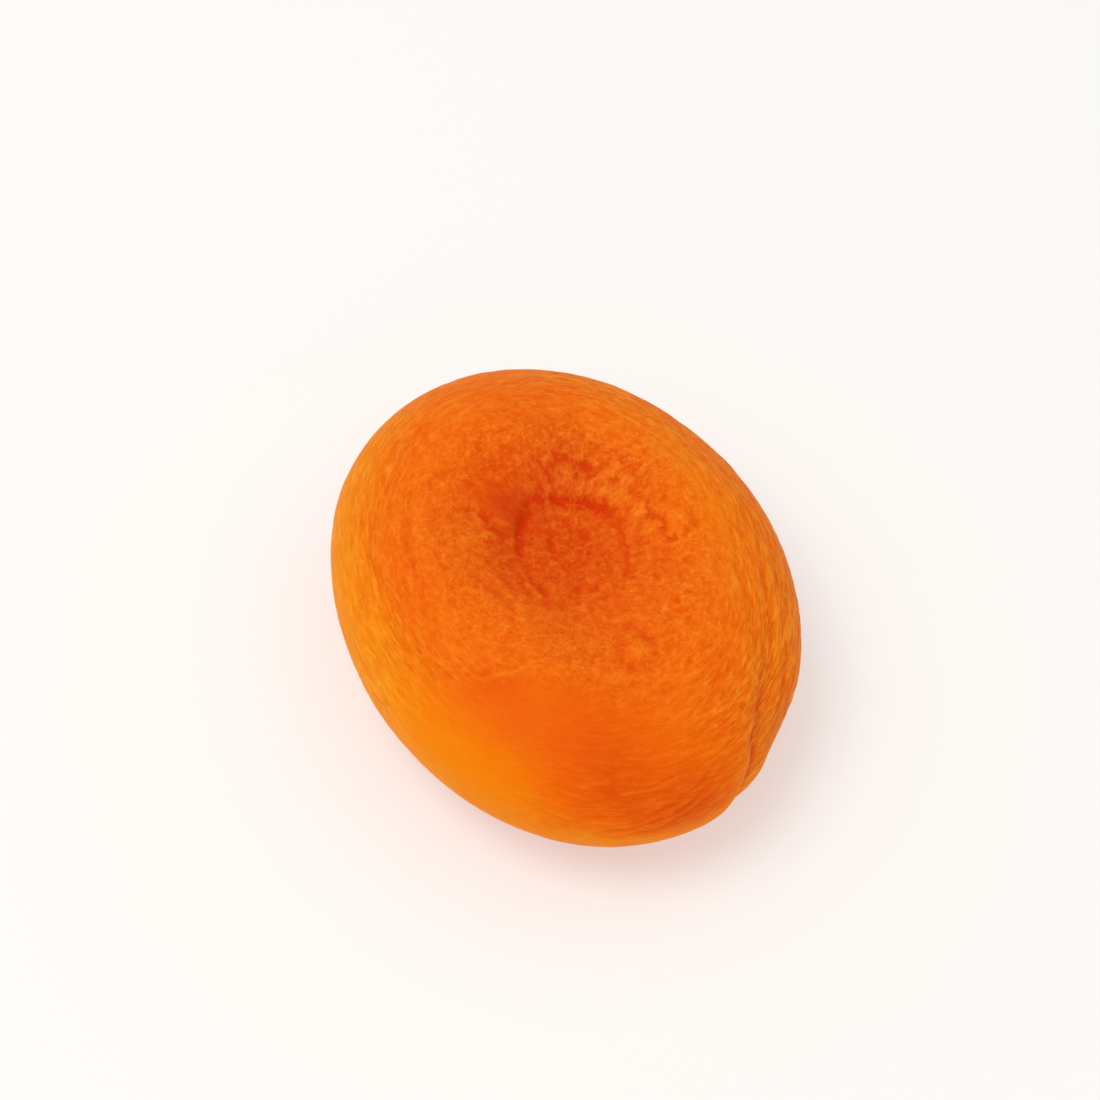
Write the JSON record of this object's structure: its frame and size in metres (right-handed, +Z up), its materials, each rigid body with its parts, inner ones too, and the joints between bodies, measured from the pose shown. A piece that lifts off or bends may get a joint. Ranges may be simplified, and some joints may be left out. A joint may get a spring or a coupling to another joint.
{
  "type": "dried apricot",
  "caption": "Whole pitted dried apricot lying flat: a plump, finely wrinkled oval with a puckered dish in its upper face and a seam fold over one end.",
  "frame": {"origin": "on the resting plane, under the middle of the fruit's outline", "axes": "+Z up from the flat spot to the dished face, +Y along the fruit from its near end, which the seam fold crosses, to its far end"},
  "size_m": [0.033, 0.0434, 0.0139],
  "materials": {
    "apricot_skin": "dried fruit skin: translucent orange, finely wrinkled, with a soft low gloss"
  },
  "bodies": {
    "root": {"apricot": "apricot_skin"}
  },
  "joints": []
}
